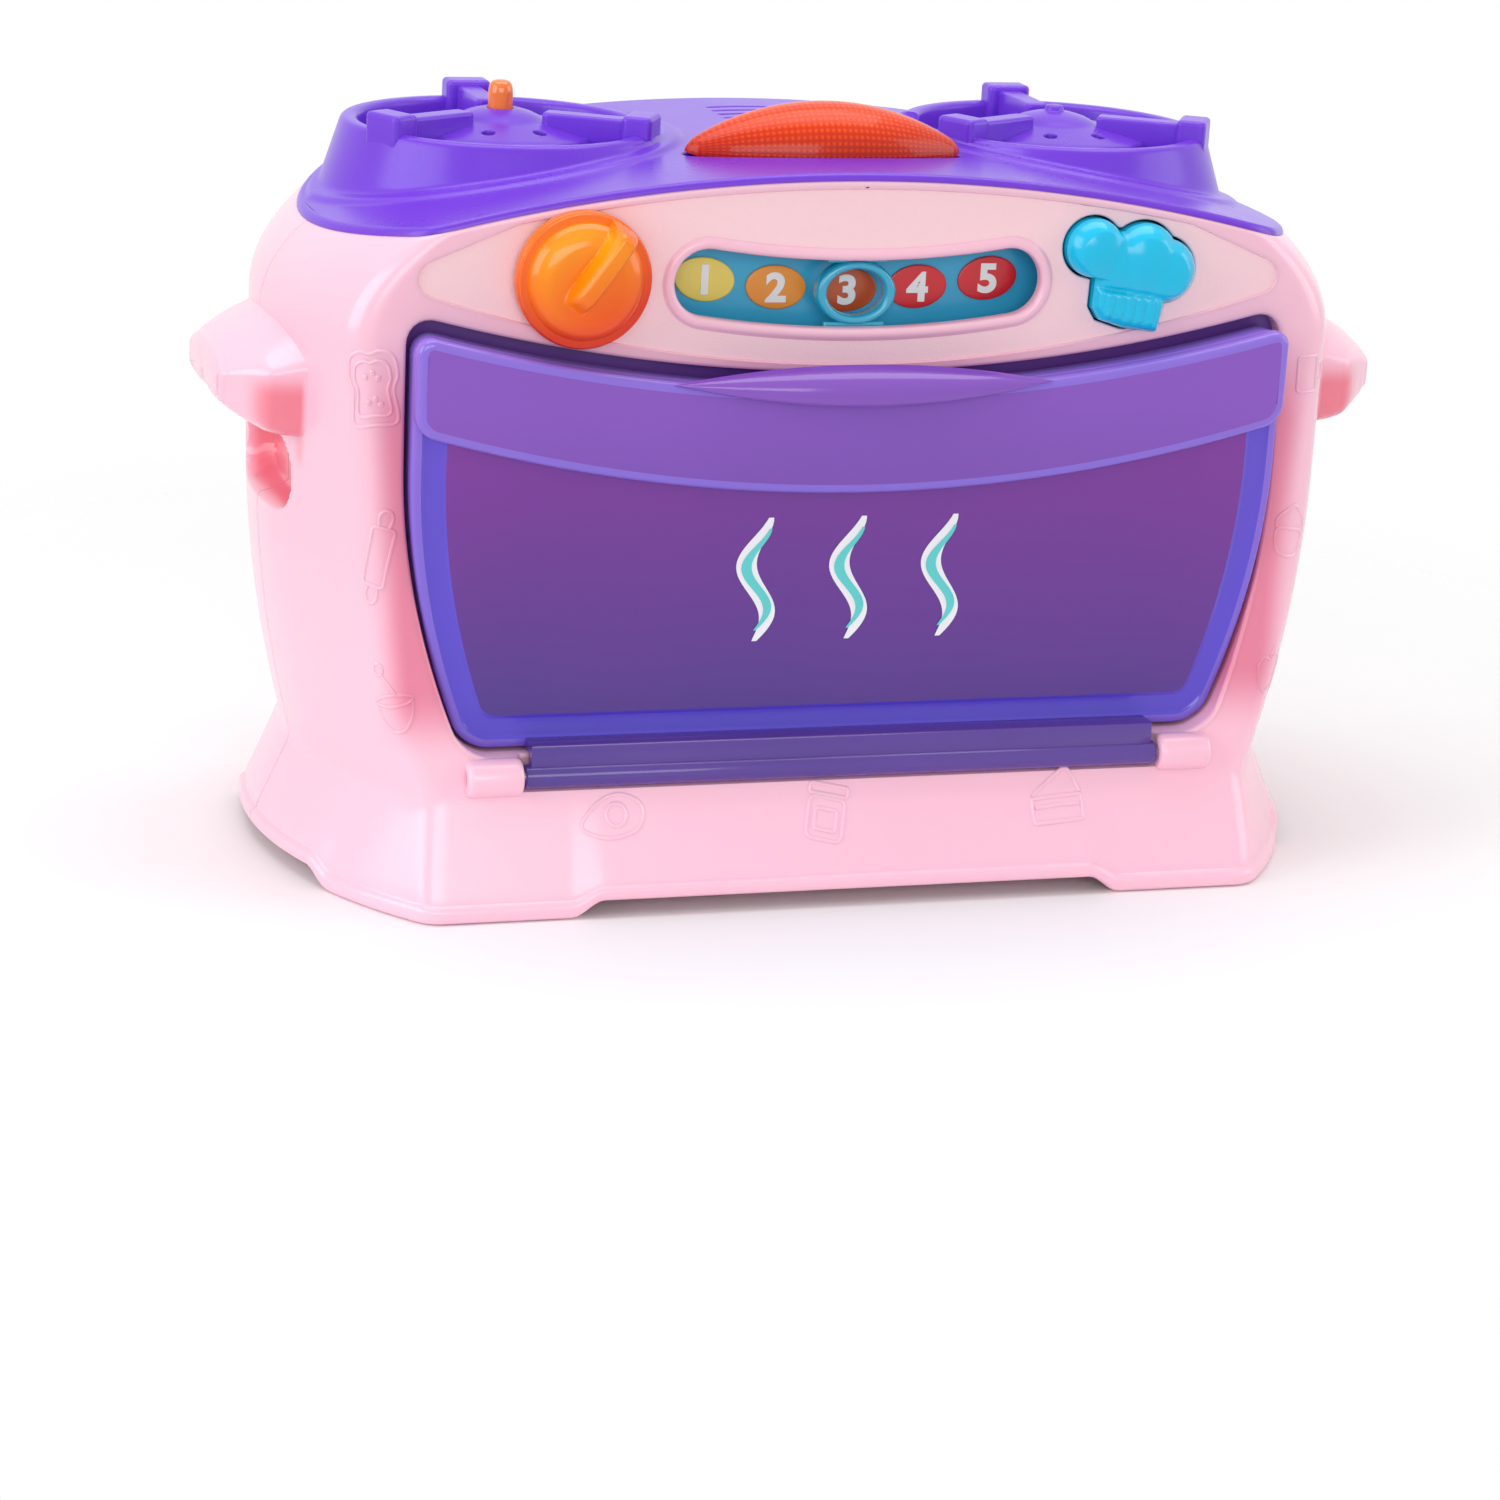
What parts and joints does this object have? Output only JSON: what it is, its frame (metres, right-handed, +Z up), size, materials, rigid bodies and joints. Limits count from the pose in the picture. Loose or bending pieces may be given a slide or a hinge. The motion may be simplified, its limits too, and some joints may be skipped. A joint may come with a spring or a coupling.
{
  "type": "toy oven",
  "caption": "Toy oven: waisted body with a drop-down clear door, raised burners with a press pin, a lens, side grips, a turning knob, a sliding number ring and a press button",
  "frame": {"origin": "middle of the footprint, on the ground", "axes": "X to the viewer's right, front faces -Y, Z up"},
  "size_m": [0.3306, 0.15, 0.2077],
  "materials": {
    "pink_shell": "smooth moulded plastic",
    "purple_hob": "smooth moulded plastic",
    "pink_base": "fine-grained moulded plastic",
    "purple_liner": "smooth moulded plastic",
    "teal_tray": "smooth moulded plastic",
    "printed_ovals": "smooth moulded plastic",
    "teal_ring": "smooth moulded plastic",
    "contact_metal": "plain plated contact metal",
    "board_green": "fine-grained moulded plastic",
    "orange_knob": "smooth moulded plastic",
    "spring_steel": "drawn steel",
    "black_part": "fine-grained moulded plastic",
    "blue_hat": "smooth moulded plastic",
    "clear_red": "clear tinted plastic",
    "white_part": "fine-grained moulded plastic",
    "lamp_clear": "clear tinted plastic",
    "orange_pin": "smooth moulded plastic",
    "cone_paper": "fine-grained moulded plastic",
    "screw_steel": "drawn steel",
    "cell_case": "printed metal can",
    "clear_purple": "clear tinted plastic",
    "printed_film": "smooth moulded plastic",
    "lead_red": "soft insulation",
    "lead_black": "soft insulation",
    "lead_yellow": "soft insulation",
    "lead_blue": "soft insulation"
  },
  "bodies": {
    "body": {"front_shell": "pink_shell", "rear_shell": "pink_shell", "hob_top": "purple_hob", "base_plate": "pink_base", "oven_cavity": "purple_liner", "number_tray": "teal_tray", "number_ovals": "printed_ovals", "slider_board": "board_green", "rotary_switch": "black_part", "hat_springs": "spring_steel", "hat_switch": "black_part", "light_lens": "clear_red", "light_tray": "white_part", "lamps": "lamp_clear", "pin_spring": "spring_steel", "pin_switch": "black_part", "speaker_frame": "black_part", "speaker_cone": "cone_paper", "speaker_magnet": "spring_steel", "main_board": "board_green", "board_parts": "black_part", "battery_box": "pink_base", "battery_cover": "pink_base", "cover_screw": "screw_steel", "cells": "cell_case", "flat_contacts": "contact_metal", "contact_springs": "spring_steel", "power_switch": "black_part", "hinge_pin": "screw_steel", "plunger_spring": "spring_steel", "door_switch": "black_part", "battery_leads": "lead_red", "speaker_leads": "lead_black", "lamp_leads": "lead_yellow", "panel_leads": "lead_blue", "shell_screws": "screw_steel", "hob_screws": "screw_steel", "base_screws": "screw_steel", "board_screws": "screw_steel", "speaker_screws": "screw_steel"},
    "door": {"door_panel": "clear_purple", "door_film": "printed_film"},
    "knob": {"timer_knob": "orange_knob", "knob_clip": "spring_steel"},
    "ring": {"slider_ring": "teal_ring", "slider_contact": "contact_metal"},
    "hat": {"hat_button": "blue_hat"},
    "pin": {"press_pin": "orange_pin"},
    "plunger": {"door_plunger": "white_part"},
    "power": {"power_slider": "white_part"}
  },
  "joints": [
    {"name": "door_hinge", "type": "hinge", "parent": "body", "child": "door", "pos_m": [0, -0.0625, 0.0365], "axis": [1, 0, 0], "range_deg": [0, 88]},
    {"name": "knob_turn", "type": "hinge", "parent": "body", "child": "knob", "pos_m": [-0.0765, -0.05, 0.1675], "axis": [0, 1, 0], "range_deg": [-110, 180]},
    {"name": "ring_slide", "type": "hinge", "parent": "body", "child": "ring", "pos_m": [0, -0.045, 0.4325], "axis": [0, 1, 0], "range_deg": [-8.4, 8.4]},
    {"name": "hat_press", "type": "slide", "parent": "body", "child": "hat", "axis": [0, 1, 0], "range_m": [0, 0.003], "stiffness_N_per_m": 300, "springref_m": -0.001, "deforming": ["hat_springs"]},
    {"name": "pin_press", "type": "slide", "parent": "body", "child": "pin", "axis": [0, 0, -1], "range_m": [0, 0.003], "stiffness_N_per_m": 300, "springref_m": -0.001, "deforming": ["pin_spring"]},
    {"name": "plunger_slide", "type": "slide", "parent": "body", "child": "plunger", "axis": [0, -1, 0], "range_m": [0, 0.0025], "deforming": ["plunger_spring"]},
    {"name": "power_slide", "type": "slide", "parent": "body", "child": "power", "axis": [1, 0, 0], "range_m": [-0.003, 0.003]}
  ],
  "couplings": [
    {"joint": "plunger_slide", "follows": "door_hinge", "m_per_rad": 0.0016261}
  ]
}
